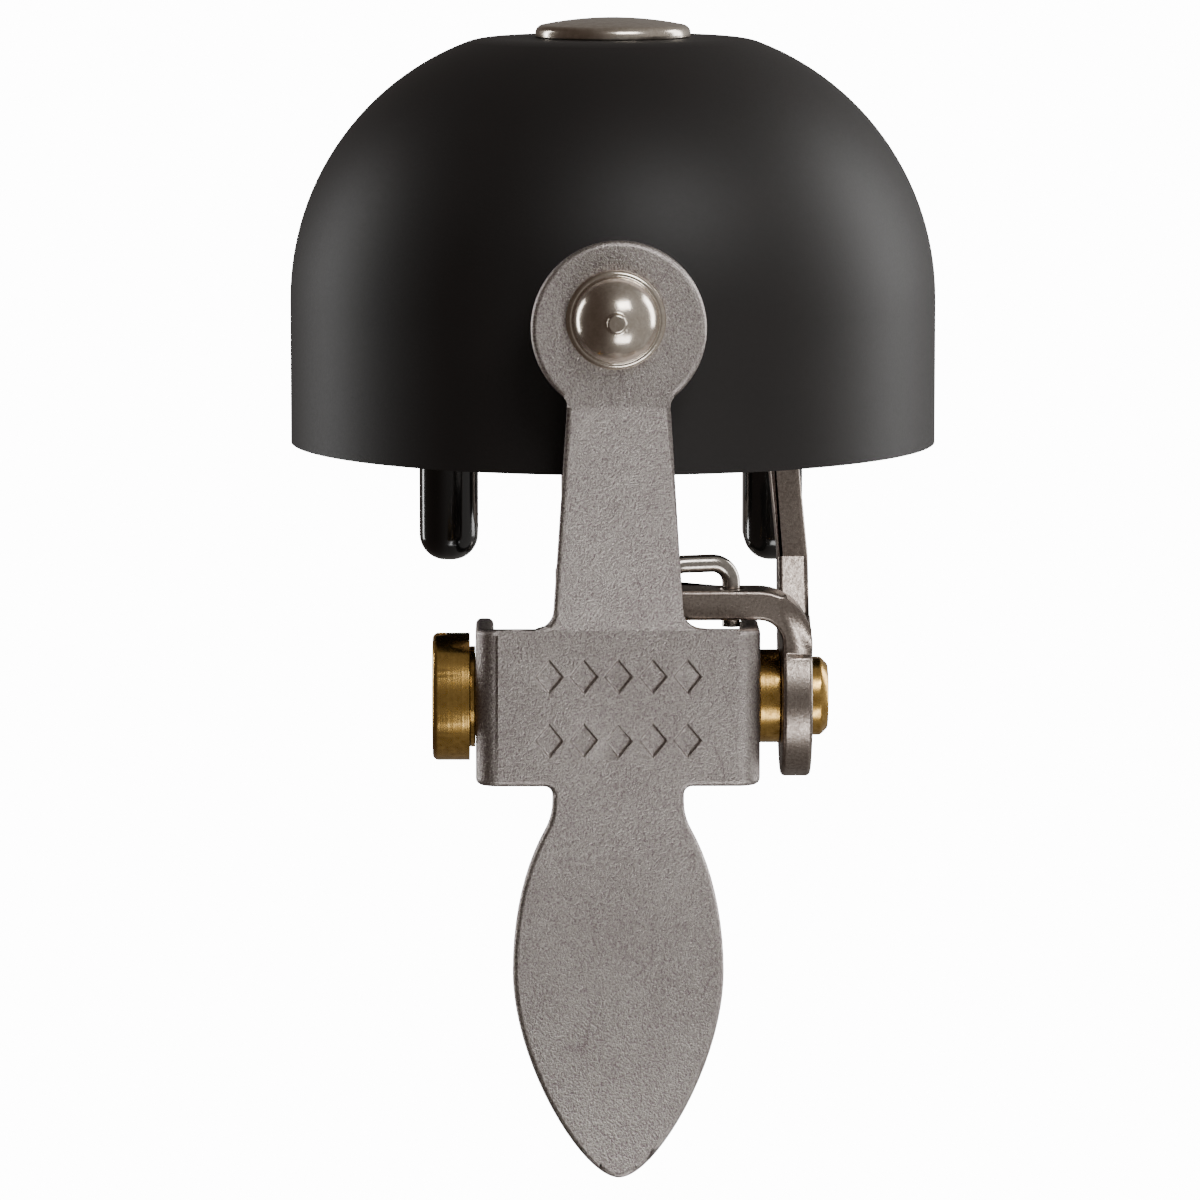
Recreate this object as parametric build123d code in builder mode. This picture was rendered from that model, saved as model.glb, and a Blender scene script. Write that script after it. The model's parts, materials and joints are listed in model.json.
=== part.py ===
"""Bicycle bell: a spun brass dome on a stamped bracket, struck by a sprung thumb lever, on a band clamp.

Frame, in millimetres: the origin is on the handlebar's axis, under the middle of the dome. +X runs along the
bar, -Y is the side that the lever is on and +Z is up. Every piece is written to parts/ as its own STEP file.
"""

import os
from math import acos, asin, atan2, cos, degrees, pi, radians, sin, sqrt

from build123d import *

# ---------------------------------------------------------------- driving dimensions
# handlebar and clamp band
bar_radius = 11.1
liner_thickness = 1.0
band_thickness = 0.8
band_width = 7.6
band_bend = 1.4  # bend radius at mid-thickness
band_front_tab = 6.8  # length of the tab riveted under the bracket's shelf
rear_tab_z = 2.4  # height of the band's rear tab at mid-thickness

# dome
dome_radius = 22.5
dome_height = 28.1
dome_wall = 1.6
shoulder_radius = 19.1
crown_flat_radius = 9.3
crown_edge_radius = 2.5
rim_z = 17.3  # height of the dome's rim above the bar's axis
rim_edge_radius = 0.45

# bracket, stamped and bent from one sheet
sheet = 2.0
bend_inside = 0.75
ear_bend_inside = 1.6
prong_x = 11.6  # the prongs' distance from the middle, at mid-thickness
deck_z = 26.0  # height of the deck inside the dome, at mid-thickness
arm_width = 4.4
arm_front_y = -15.5
prong_width = 4.8
tail_width = 7.0
lug_z = 10.0  # height of the clamp screw's lug, at mid-thickness
shelf_half_width = 4.1  # of the part behind the lever's neck
strip_depth = 3.4  # of the shelf's front strip, out to the ear
ear_radius = 5.4  # of the eye round the pivot
arm_root = 3.0  # how far the arm's root reaches down into the eye
arm_slope = 1.4  # above the shelf, where the arm starts to lean in
arm_step = 3.4  # how far the arm's front edge steps back above the eye
arm_lean = 1.5  # how far the arm's top stands inside its root

# lever, stamped and bent from one sheet
lever_sheet = 1.2
wing_half_width = 9.5
wing_height = 10.55
wing_bend_outside = 1.5
neck_half_width_low = 4.4
neck_half_width_high = 3.37
neck_corner = 1.3
lower_corner = 0.55
disc_radius = 5.8
disc_z = 27.45
disc_blend = 0.8
crease_z = 22.3  # the bend between the leaning neck and the upright disc
paddle_half_width = 7.06
paddle_neck_half_width = 4.4
paddle_wide_z = -15.75
paddle_tip_z = -29.1
paddle_upper_rise = 13.1
paddle_blend = 4.0
paddle_side_pull = 0.45  # how long the paddle keeps its width below its widest place
paddle_tip_pull = 0.35  # how broad its tip is
paddle_curl_start_z = -6.0
paddle_curl_radius = 70.0
mark_depth = 0.25
mark_half_length = 0.9
mark_half_width = 1.1
mark_pitch = 2.3
mark_row_height = 4.3
marks_in_a_row = 5

# pivot screw and its spring
pivot_z = 1.92
pivot_radius = 2.65
pivot_head_radius = 4.3
pivot_head_height = 2.5
pivot_end_stand_out = 1.2
pivot_slot_width = 1.0
pivot_slot_depth = 0.9
washer_thickness = 0.35
washer_radius = 3.4
spacer_length = 1.4
spacer_wall = 0.45
wire_diameter = 1.2
coil_turns = 5
coil_pitch = 1.25
hook_x = 7.6  # where the fixed leg hooks into the shelf
hook_rise = 1.7  # the fixed leg's mid-height above the shelf
hook_inset = 1.8  # from the shelf's front edge
slot_run_out = 1.2
hook_stub = 0.6  # how far the hook's end comes out under the shelf
wire_bend = 1.35
free_leg_reach = 1.6  # below the wings' plate

# hammer
hammer_shank_radius = 1.5
hammer_head_radius = 3.1
hammer_x = -0.2
hammer_z = 28.1
hammer_length = 2.07  # from its face to the disc's back
hammer_crown = 0.3
hammer_shank_reach = 1.6  # in front of the disc
strike_gap = 1.0  # between the hammer and the dome at rest
cap_flange_radius = 3.3
cap_flange_height = 0.7
cap_dome_radius = 2.85
cap_dome_height = 2.7
cap_edge = 0.2
nub_radius = 0.65
nub_height = 0.35
nub_sink = 0.3

# crown fixing
crown_screw_radius = 2.0
crown_head_radius = 5.4
crown_head_height = 1.4
crown_head_fall = 0.6  # from the head's middle to its edge
crown_head_edge = 0.6
dome_washer_radius = 5.5
dome_washer_thickness = 0.8
post_radius = 4.0
stud_radius = 2.5
stud_stand_out = 0.8
stud_nut_flats = 8.0
stud_nut_height = 3.2
lock_washer_thickness = 0.9
lock_washer_width = 1.5
lock_washer_slit = 0.6

# clamp screw
clamp_screw_radius = 2.0
thumb_head_radius = 3.8
thumb_head_height = 3.0
knurl_count = 24
knurl_radius = 0.22
clamp_nut_flats = 7.0
clamp_nut_height = 3.2
clamp_washer_radius = 3.4
clamp_washer_thickness = 0.5
clamp_end_stand_out = 1.0
rivet_radius = 0.9
rivet_head_radius = 1.6
rivet_head_height = 0.8
rivet_tail_radius = 1.3
rivet_tail_height = 0.5
liner_trim = 12.0  # degrees, from the band's folds to the liner's ends
rivet_spacing = 4.2
rivet_inset = 2.1  # from the band's front end

# rubber and vinyl feet
foot_tip_share = 0.694  # height of the feet's tips, as a share of the bar's radius
foot_room = 0.4  # from the feet to the dome's inside
foot_bite = 0.4
sleeve_wall = 1.1
sleeve_rounding = 1.95
sleeve_length = 13.0
pad_half_width = 3.6
pad_wall = 0.8
pad_depth = 2.2

# clearances
running_gap = 0.05  # radial, round a shaft that turns
seat_gap = 0.02  # between pieces that bear on each other
side_gap = 0.05  # each side of the lever's wings, along the pivot
hole_gap = 0.15  # radial, round a screw or a wire in a clearance hole
coil_gap_inside = 0.45  # from the pivot to the coil
coil_gap_outside = 0.5  # from the coil to the lever's plate
lever_gap = 0.5  # from the lever's plate to the shelf's front edge
shelf_gap = 0.4  # from the wings' top to the shelf
flange_gap = 0.5  # from the wings' flanges to the clamp band
bar_gap = 0.9  # from the bar to the shelf's rear edge
head_gap = 0.5  # from the clamp band to the thumb screw's head

# ---------------------------------------------------------------- what follows from them
bend_mid = bend_inside + sheet / 2
band_inner = bar_radius + liner_thickness
band_mid = band_inner + band_thickness / 2
band_outer = band_inner + band_thickness
crown_z = rim_z + dome_height

flange_radius = wing_height / 2
pivot_y = -(band_outer + flange_gap + flange_radius)
coil_radius = pivot_radius + coil_gap_inside + wire_diameter / 2
coil_outer = coil_radius + wire_diameter / 2
wing_back_y = pivot_y - coil_outer - coil_gap_outside
wing_mid_y = wing_back_y - lever_sheet / 2
wing_front_y = wing_back_y - lever_sheet
wing_top_z = pivot_z + wing_height / 2
wing_bottom_z = pivot_z - wing_height / 2

shelf_z = wing_top_z + shelf_gap + sheet / 2
shelf_top_z = shelf_z + sheet / 2
shelf_bottom_z = shelf_z - sheet / 2
shelf_front_y = wing_back_y + lever_gap
shelf_rear_y = -sqrt((bar_radius + bar_gap) ** 2 - shelf_bottom_z**2)
strip_rear_y = shelf_front_y + strip_depth
ear_x = wing_half_width + 2 * side_gap + spacer_length + sheet / 2
arm_rear_y = arm_front_y + arm_width
arm_top_x = ear_x - arm_lean
arm_lean_z = shelf_top_z + arm_slope

foot_tip_z = foot_tip_share * bar_radius
foot_front_y = sqrt(bar_radius**2 - foot_tip_z**2) - foot_bite
prong_front_y = foot_front_y + sleeve_wall
dome_room_y = sqrt((dome_radius - dome_wall - foot_room) ** 2 - (prong_x + sheet / 2) ** 2)
prong_rear_y = min(prong_front_y + prong_width, dome_room_y - sleeve_wall)
prong_depth = prong_rear_y - prong_front_y
clamp_y = band_outer + head_gap + thumb_head_radius
tail_y = clamp_y - clamp_nut_flats / 2 - bend_inside - sheet / 2
lug_end_y = clamp_y + thumb_head_radius

front_tab_z = shelf_bottom_z - seat_gap - band_thickness / 2
front_tab_end_y = -sqrt(band_mid**2 - front_tab_z**2) - band_front_tab
rivet_y = front_tab_end_y + rivet_inset

hammer_face_y = -dome_radius - strike_gap
disc_back_y = hammer_face_y - hammer_length
disc_mid_y = disc_back_y - lever_sheet / 2
disc_front_y = disc_back_y - lever_sheet


# ---------------------------------------------------------------- helpers
def bent_strip(plane, points, thickness, mid_radius, low, high):
    """A sheet bent along points in plane, running from low to high along the plane's normal."""
    with BuildPart() as strip:
        with BuildSketch(plane.offset(low)):
            with BuildLine():
                FilletPolyline(*points, radius=mid_radius)
            trace(line_width=thickness)
        extrude(amount=high - low)
    return strip.part


def crown_arc(radius, base, rise):
    """An arc centred on the axis of revolution, from (radius, base) to (0, base + rise)."""
    sphere = (radius**2 + rise**2) / (2 * rise)
    half = asin(radius / sphere) / 2
    centre = base + rise - sphere
    ThreePointArc(
        (radius, base), (sphere * sin(half), centre + sphere * cos(half)), (0, base + rise)
    )


def finish(piece, label):
    """Labels a finished piece and writes its STEP file."""
    piece.label = label
    export_step(piece, f"parts/{label}.step")


os.makedirs("parts", exist_ok=True)

# ---------------------------------------------------------------- dome
shoulder_x = dome_radius - shoulder_radius
shoulder_z = crown_z - sqrt(shoulder_radius**2 - (crown_flat_radius - shoulder_x) ** 2)


def dome_section(inset):
    """The half-section under the dome's outer surface, moved inwards by inset."""
    radius = shoulder_radius - inset
    top = crown_z - inset
    flat = shoulder_x + sqrt(radius**2 - (top - shoulder_z) ** 2)
    mid_angle = (atan2(top - shoulder_z, flat - shoulder_x)) / 2
    mid = (shoulder_x + radius * cos(mid_angle), shoulder_z + radius * sin(mid_angle))
    side = dome_radius - inset
    with BuildSketch(Plane.XZ) as section:
        with BuildLine():
            Line((0, rim_z), (side, rim_z))
            Line((side, rim_z), (side, shoulder_z))
            ThreePointArc((side, shoulder_z), mid, (flat, top))
            Line((flat, top), (0, top))
            Line((0, top), (0, rim_z))
        make_face()
        crown_edge = section.vertices().sort_by_distance(Vector(flat, top))[0]
        fillet(crown_edge, radius=crown_edge_radius - inset / 2)
    return section.sketch


with BuildPart() as bell_dome:
    add(dome_section(0))
    revolve(axis=Axis.Z)
    add(dome_section(dome_wall))
    revolve(axis=Axis.Z, mode=Mode.SUBTRACT)
    rim_edges = bell_dome.edges().filter_by(GeomType.CIRCLE).group_by(Axis.Z)[0]
    fillet(rim_edges, radius=rim_edge_radius)
    with Locations((0, 0, crown_z)):
        Hole(radius=crown_screw_radius + hole_gap, depth=2 * dome_wall)
finish(bell_dome.part, "bell_dome")

# ---------------------------------------------------------------- crown screw, washer, post and nut
post_top_z = crown_z - dome_wall - dome_washer_thickness
deck_top_z = deck_z + sheet / 2
deck_bottom_z = deck_z - sheet / 2
crown_thread_length = dome_wall + dome_washer_thickness + 8.0

with BuildPart() as crown_screw:
    with BuildSketch(Plane.XZ) as head_section:
        with BuildLine():
            Polyline(
                (0, crown_z + crown_head_height),
                (0, crown_z),
                (crown_head_radius, crown_z),
                (crown_head_radius, crown_z + crown_head_height - crown_head_fall),
            )
            crown_arc(crown_head_radius, crown_z + crown_head_height - crown_head_fall, crown_head_fall)
        make_face()
        top_corner = head_section.vertices().group_by(Axis.X)[-1].sort_by(Axis.Y)[-1]
        fillet(top_corner, radius=crown_head_edge)
    revolve(axis=Axis.Z)
    with BuildSketch(Plane.XY.offset(crown_z)):
        Circle(crown_screw_radius)
    extrude(amount=-crown_thread_length)
    chamfer(crown_screw.edges().group_by(Axis.Z)[0], length=0.4)
finish(crown_screw.part, "crown_screw")

with BuildPart() as dome_washer:
    with BuildSketch(Plane.XY.offset(post_top_z)):
        Circle(dome_washer_radius)
        Circle(crown_screw_radius + hole_gap, mode=Mode.SUBTRACT)
    extrude(amount=dome_washer_thickness)
finish(dome_washer.part, "dome_washer")

with BuildPart() as dome_post:
    with BuildSketch(Plane.XY.offset(deck_top_z)):
        Circle(post_radius)
    extrude(amount=post_top_z - deck_top_z)
    chamfer(dome_post.edges().filter_by(GeomType.CIRCLE), length=0.35)
    with BuildSketch(Plane.XY.offset(deck_top_z)):
        Circle(stud_radius)
    extrude(amount=-(sheet + lock_washer_thickness + stud_nut_height + stud_stand_out))
    chamfer(dome_post.edges().group_by(Axis.Z)[0], length=0.4)
    with Locations((0, 0, post_top_z)):
        Hole(radius=crown_screw_radius + seat_gap, depth=crown_thread_length)
finish(dome_post.part, "dome_post")


def hex_nut(flats, height, bore, bottom):
    """A chamfered hexagon nut on the Z axis, with two flats facing +-X."""
    corner = flats / sqrt(3)
    with BuildPart() as nut:
        with BuildSketch(Plane.XY.offset(bottom)):
            RegularPolygon(radius=flats / 2, side_count=6, major_radius=False, rotation=30)
            Circle(bore, mode=Mode.SUBTRACT)
        extrude(amount=height)
        with BuildSketch(Plane.XZ) as crown:
            with BuildLine():
                Polyline(
                    (0, bottom),
                    (flats / 2 - 0.1, bottom),
                    (corner + 0.1, bottom + (corner - flats / 2 + 0.2) * 0.5),
                    (corner + 0.1, bottom + height - (corner - flats / 2 + 0.2) * 0.5),
                    (flats / 2 - 0.1, bottom + height),
                    (0, bottom + height),
                    close=True,
                )
            make_face()
        revolve(axis=Axis.Z, mode=Mode.INTERSECT)
    return nut.part


lock_washer_bottom_z = deck_bottom_z - lock_washer_thickness

with BuildPart() as lock_washer:
    with BuildSketch(Plane.XY.offset(lock_washer_bottom_z)):
        Circle(stud_radius + lock_washer_width)
        Circle(stud_radius + hole_gap, mode=Mode.SUBTRACT)
        with Locations((stud_radius + lock_washer_width / 2, 0)):
            Rectangle(2 * lock_washer_width, lock_washer_slit, mode=Mode.SUBTRACT)
    extrude(amount=lock_washer_thickness)
finish(lock_washer.part, "lock_washer")

with BuildPart() as post_nut:
    nut_bottom_z = lock_washer_bottom_z - stud_nut_height
    add(hex_nut(stud_nut_flats, stud_nut_height, stud_radius + seat_gap, nut_bottom_z))
finish(post_nut.part, "post_nut")

# ---------------------------------------------------------------- bracket
prong_end_z = foot_tip_z + sleeve_wall
deck_half_width = prong_x - bend_mid
wire_slot_x = coil_turns * coil_pitch / 2
hook_y = shelf_front_y + hook_inset

with BuildPart() as bracket:
    # the shelf's front strip, bent down into the ear
    add(
        bent_strip(
            Plane.XZ,
            [(-shelf_half_width, shelf_z), (ear_x, shelf_z), (ear_x, pivot_z)],
            sheet,
            ear_bend_inside + sheet / 2,
            -strip_rear_y,
            -shelf_front_y,
        )
    )
    # the shelf behind the neck
    with BuildSketch(Plane.XY.offset(shelf_bottom_z)):
        with Locations((0, (shelf_front_y + shelf_rear_y) / 2)):
            Rectangle(2 * shelf_half_width, shelf_rear_y - shelf_front_y)
    extrude(amount=sheet)
    # the side plate: the eye round the pivot and the arm that rises from it
    with BuildSketch(Plane.YZ.offset(ear_x - sheet / 2)):
        with Locations((pivot_y, pivot_z)):
            Circle(ear_radius)
        with BuildLine():
            Polyline(
                (arm_front_y - arm_step, pivot_z + ear_radius - arm_root),
                (arm_front_y, arm_lean_z),
                (arm_rear_y, arm_lean_z),
                (arm_rear_y, shelf_top_z),
                (pivot_y + ear_radius - 0.1, pivot_z),
                close=True,
            )
        make_face()
    extrude(amount=sheet)
    # the arm above the shelf, leaning in and then bent into the deck
    add(
        bent_strip(
            Plane.XZ,
            [(ear_x, shelf_top_z), (ear_x, arm_lean_z), (arm_top_x, deck_z), (0, deck_z)],
            sheet,
            bend_mid,
            -arm_rear_y,
            -arm_front_y,
        )
    )
    # the two rear prongs
    add(
        bent_strip(
            Plane.XZ,
            [(-prong_x, prong_end_z), (-prong_x, deck_z), (prong_x, deck_z), (prong_x, prong_end_z)],
            sheet,
            bend_mid,
            -prong_rear_y,
            -prong_front_y,
        )
    )
    prong_ends = bracket.edges().filter_by(Axis.X).filter_by(
        lambda e: abs(e.center().Z - prong_end_z) < 1e-3
    )
    fillet(prong_ends, radius=prong_depth / 4)
    # the tail and the clamp screw's lug
    add(
        bent_strip(
            Plane.YZ,
            [(0, deck_z), (tail_y, deck_z), (tail_y, lug_z), (lug_end_y, lug_z)],
            sheet,
            bend_mid,
            -tail_width / 2,
            tail_width / 2,
        )
    )
    lug_end = bracket.edges().filter_by(Axis.Z).group_by(Axis.Y)[-1]
    fillet(lug_end, radius=tail_width / 3)
    # the deck
    with BuildSketch(Plane.XY.offset(deck_bottom_z)) as deck:
        with BuildLine():
            Polyline(
                (arm_top_x - bend_mid, arm_front_y),
                (arm_top_x - bend_mid, arm_rear_y),
                (deck_half_width, prong_front_y),
                (deck_half_width, prong_rear_y),
                (-deck_half_width, prong_rear_y),
                (-deck_half_width, prong_front_y),
                (-post_radius - 2, -post_radius),
                (0, arm_front_y),
                close=True,
            )
        make_face()
    extrude(amount=sheet)
    # holes for the post's stud, the clamp screw, the pivot and the spring's hook, and the spring's slot
    with Locations((0, 0, deck_top_z)):
        Hole(radius=stud_radius + hole_gap, depth=2 * sheet)
    with Locations((0, clamp_y, lug_z + sheet / 2)):
        Hole(radius=clamp_screw_radius + hole_gap, depth=2 * sheet)
    with BuildSketch(Plane.YZ.offset(ear_x - sheet)):
        with Locations((pivot_y, pivot_z)):
            Circle(pivot_radius + seat_gap)
    extrude(amount=2 * sheet, mode=Mode.SUBTRACT)
    with Locations((hook_x, hook_y, shelf_top_z)):
        Hole(radius=wire_diameter / 2 + hole_gap, depth=2 * sheet)
    with BuildSketch(Plane.XY.offset(shelf_bottom_z)):
        with Locations((wire_slot_x, shelf_front_y + wire_diameter)):
            Rectangle(wire_diameter + 4 * hole_gap, 2 * wire_diameter + slot_run_out)
    extrude(amount=sheet, mode=Mode.SUBTRACT)
    with Locations((0, rivet_y, shelf_top_z)):
        with GridLocations(rivet_spacing, 0, 2, 1):
            Hole(radius=rivet_radius + seat_gap, depth=2 * sheet)
finish(bracket.part, "bracket")
# ---------------------------------------------------------------- feet and pad


def foot_sleeve(side):
    """A dipped vinyl sleeve on the prong at side * prong_x, hollowed where the bar bears on it."""
    width = sheet + 2 * sleeve_wall
    depth = prong_depth + 2 * sleeve_wall
    centre = (side * prong_x, (prong_front_y + prong_rear_y) / 2)
    with BuildPart() as sleeve:
        with BuildSketch(Plane.XY.offset(foot_tip_z)):
            with Locations(centre):
                RectangleRounded(width, depth, sleeve_rounding)
        extrude(amount=sleeve_length)
        fillet(sleeve.edges().group_by(Axis.Z)[0], radius=0.95 * sleeve_rounding)
        fillet(sleeve.edges().group_by(Axis.Z)[-1], radius=sleeve_wall / 3)
        with BuildSketch(Plane.XY.offset(prong_end_z - seat_gap)):
            with Locations(centre):
                Rectangle(sheet + 2 * seat_gap, prong_depth + 2 * seat_gap)
        extrude(amount=sleeve_length, mode=Mode.SUBTRACT)
        with BuildSketch(Plane.YZ.offset(side * prong_x)):
            Circle(bar_radius)
        extrude(amount=width, both=True, mode=Mode.SUBTRACT)
    return sleeve.part


with BuildPart() as left_foot_sleeve:
    add(foot_sleeve(-1))
finish(left_foot_sleeve.part, "left_foot_sleeve")

with BuildPart() as right_foot_sleeve:
    add(foot_sleeve(1))
finish(right_foot_sleeve.part, "right_foot_sleeve")

with BuildPart() as shelf_pad:
    pad_front_y = shelf_rear_y - pad_depth
    pad_rear_y = -sqrt(bar_radius**2 - (shelf_top_z + pad_wall) ** 2)
    with BuildSketch(Plane.YZ.offset(-pad_half_width)):
        with BuildLine():
            Polyline(
                (pad_front_y, shelf_top_z + seat_gap),
                (shelf_rear_y + seat_gap, shelf_top_z + seat_gap),
                (shelf_rear_y + seat_gap, shelf_bottom_z),
                (pad_rear_y, shelf_bottom_z),
                (pad_rear_y, shelf_top_z + pad_wall),
                (pad_front_y, shelf_top_z + pad_wall),
                close=True,
            )
        make_face()
        Circle(bar_radius, mode=Mode.SUBTRACT)
    extrude(amount=2 * pad_half_width)
finish(shelf_pad.part, "shelf_pad")

# ---------------------------------------------------------------- lever
channel_x = wing_half_width - lever_sheet / 2
wing_flat = wing_half_width - wing_bend_outside
disc_join_z = disc_z - sqrt(disc_radius**2 - neck_half_width_high**2)
paddle_lower_rise = paddle_wide_z - paddle_tip_z
paddle_join = paddle_neck_half_width / paddle_half_width
paddle_join_z = paddle_wide_z + paddle_upper_rise * sqrt(1 - paddle_join**2)
paddle_join_angle = degrees(acos(paddle_join))

with BuildPart() as lever:
    # side view: the disc, the leaning neck, the wings' plate and the curled paddle
    with BuildSketch(Plane.YZ.offset(-wing_flat)):
        with BuildLine():
            upper = Polyline(
                (disc_mid_y, disc_z + disc_radius),
                (disc_mid_y, crease_z),
                (wing_mid_y, wing_top_z),
                (wing_mid_y, paddle_curl_start_z),
            )
            JernArc(
                start=upper @ 1,
                tangent=(0, -1),
                radius=paddle_curl_radius,
                arc_size=-degrees((paddle_curl_start_z - paddle_tip_z) / paddle_curl_radius) * 1.1,
            )
        trace(line_width=lever_sheet)
    extrude(amount=2 * wing_flat)
    # front view: half of the outline, mirrored
    with BuildSketch(Plane.XZ) as outline:
        with BuildLine():
            ThreePointArc(
                (0, disc_z + disc_radius), (disc_radius, disc_z), (neck_half_width_high, disc_join_z)
            )
            Polyline(
                (neck_half_width_high, disc_join_z),
                (neck_half_width_low, wing_top_z),
                (wing_flat, wing_top_z),
                (wing_flat, wing_bottom_z),
                (paddle_neck_half_width, wing_bottom_z),
                (paddle_neck_half_width, paddle_join_z),
            )
            EllipticalCenterArc(
                (0, paddle_wide_z),
                paddle_half_width,
                paddle_upper_rise,
                start_angle=0,
                arc_size=paddle_join_angle,
            )
            Bezier(
                (paddle_half_width, paddle_wide_z),
                (paddle_half_width, paddle_wide_z - paddle_side_pull * paddle_lower_rise),
                (paddle_tip_pull * paddle_half_width, paddle_tip_z),
                (0, paddle_tip_z),
            )
            Line((0, paddle_tip_z), (0, disc_z + disc_radius))
        make_face()
        for place, radius in (
            ((neck_half_width_high, disc_join_z), disc_blend),
            ((neck_half_width_low, wing_top_z), neck_corner),
            ((paddle_neck_half_width, wing_bottom_z), lower_corner),
            ((paddle_neck_half_width, paddle_join_z), paddle_blend),
        ):
            fillet(outline.vertices().sort_by_distance(Vector(*place))[0], radius=radius)
        mirror(about=Plane.YZ)
    extrude(amount=-2 * wing_front_y, mode=Mode.INTERSECT)
    # the wings' flanges, bent back and rounded about the pivot
    with BuildSketch(Plane.XY.offset(wing_bottom_z)):
        with BuildLine():
            FilletPolyline(
                (-channel_x, pivot_y + flange_radius),
                (-channel_x, wing_mid_y),
                (channel_x, wing_mid_y),
                (channel_x, pivot_y + flange_radius),
                radius=wing_bend_outside - lever_sheet / 2,
            )
        trace(line_width=lever_sheet)
    extrude(amount=wing_height)
    flange_ends = lever.edges().filter_by(Axis.X).group_by(Axis.Y)[-1]
    fillet(flange_ends, radius=flange_radius - 0.01)
    # holes for the pivot and the hammer's shank
    with BuildSketch(Plane.YZ):
        with Locations((pivot_y, pivot_z)):
            Circle(pivot_radius + running_gap)
    extrude(amount=wing_half_width + 1, both=True, mode=Mode.SUBTRACT)
    with BuildSketch(Plane.XZ.offset(-disc_back_y)):
        with Locations((hammer_x, hammer_z)):
            Circle(hammer_shank_radius + seat_gap)
    extrude(amount=2 * lever_sheet, both=True, mode=Mode.SUBTRACT)
    # two rows of lozenges stamped in the wings' plate
    with BuildSketch(Plane.XZ.offset(-wing_front_y)):
        with Locations((0, pivot_z)):
            with GridLocations(mark_pitch, mark_row_height, marks_in_a_row, 2):
                Polygon(
                    (mark_half_length, 0),
                    (0, mark_half_width),
                    (-mark_half_length, 0),
                    (0, -mark_half_width),
                )
    extrude(amount=-mark_depth, mode=Mode.SUBTRACT)
finish(lever.part, "lever")

# ---------------------------------------------------------------- hammer and its cap
hammer_axis = Axis((hammer_x, 0, hammer_z), (0, 1, 0))
hammer_plane = Plane(origin=(hammer_x, 0, hammer_z), x_dir=(1, 0, 0), z_dir=(0, 0, 1))

with BuildPart() as hammer:
    with BuildSketch(hammer_plane):
        with BuildLine():
            Polyline(
                (0, hammer_face_y - hammer_crown),
                (hammer_head_radius - hammer_crown, hammer_face_y - hammer_crown),
                (hammer_head_radius, hammer_face_y - 2 * hammer_crown),
                (hammer_head_radius, disc_back_y + seat_gap),
                (hammer_shank_radius, disc_back_y + seat_gap),
                (hammer_shank_radius, disc_front_y - hammer_shank_reach),
                (0, disc_front_y - hammer_shank_reach),
                close=True,
            )
        make_face()
        with BuildLine():
            ThreePointArc(
                (hammer_head_radius - hammer_crown, hammer_face_y - hammer_crown),
                (0, hammer_face_y),
                (hammer_crown - hammer_head_radius, hammer_face_y - hammer_crown),
            )
            Line(
                (hammer_crown - hammer_head_radius, hammer_face_y - hammer_crown),
                (hammer_head_radius - hammer_crown, hammer_face_y - hammer_crown),
            )
        make_face()
        split(bisect_by=Plane.YZ, keep=Keep.TOP)
    revolve(axis=hammer_axis)
finish(hammer.part, "hammer")

cap_base_y = disc_front_y - seat_gap
cap_rim_y = cap_base_y - cap_flange_height

with BuildPart() as hammer_cap:
    with BuildSketch(hammer_plane):
        with BuildLine():
            Polyline(
                (0, cap_base_y),
                (cap_flange_radius, cap_base_y),
                (cap_flange_radius, cap_rim_y + cap_edge),
                (cap_flange_radius - cap_edge, cap_rim_y),
                (cap_dome_radius, cap_rim_y),
            )
            EllipticalCenterArc(
                (0, cap_rim_y), cap_dome_radius, cap_dome_height, start_angle=-90, arc_size=90
            )
            Line((0, cap_rim_y - cap_dome_height), (0, cap_base_y))
        make_face()
    revolve(axis=hammer_axis)
    with BuildSketch(hammer_plane):
        with Locations((0, cap_base_y - hammer_shank_reach / 2)):
            Rectangle(2 * (hammer_shank_radius + seat_gap), hammer_shank_reach + 2 * seat_gap)
        split(bisect_by=Plane.YZ, keep=Keep.TOP)
    revolve(axis=hammer_axis, mode=Mode.SUBTRACT)
    with BuildSketch(Plane.XZ.offset(-(cap_rim_y - cap_dome_height + nub_sink))):
        with Locations((hammer_x, hammer_z)):
            Circle(nub_radius)
    extrude(amount=nub_height + nub_sink)
    fillet(hammer_cap.edges().group_by(Axis.Y)[0], radius=nub_height / 2)
finish(hammer_cap.part, "hammer_cap")

# ---------------------------------------------------------------- pivot screw, its washer and the spacer
wing_side_x = wing_half_width + side_gap
head_x = -(wing_side_x + washer_thickness + seat_gap)
pivot_end_x = ear_x + sheet / 2 + pivot_end_stand_out

with BuildPart() as pivot_screw:
    with BuildSketch(Plane.YZ.offset(head_x)):
        with Locations((pivot_y, pivot_z)):
            Circle(pivot_radius)
    extrude(amount=pivot_end_x - head_x)
    chamfer(pivot_screw.edges().group_by(Axis.X)[-1], length=0.5)
    with BuildSketch(Plane.YZ.offset(head_x)):
        with Locations((pivot_y, pivot_z)):
            Circle(pivot_head_radius)
    extrude(amount=-pivot_head_height)
    fillet(pivot_screw.edges().group_by(Axis.X)[0], radius=0.4)
    with BuildSketch(Plane.YZ.offset(head_x - pivot_head_height)):
        with Locations((pivot_y, pivot_z)):
            Rectangle(pivot_slot_width, 2 * pivot_head_radius + 1)
    extrude(amount=pivot_slot_depth, mode=Mode.SUBTRACT)
finish(pivot_screw.part, "pivot_screw")

with BuildPart() as head_washer:
    with BuildSketch(Plane.YZ.offset(-wing_side_x - washer_thickness)):
        with Locations((pivot_y, pivot_z)):
            Circle(washer_radius)
            Circle(pivot_radius + running_gap, mode=Mode.SUBTRACT)
    extrude(amount=washer_thickness)
finish(head_washer.part, "head_washer")

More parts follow.
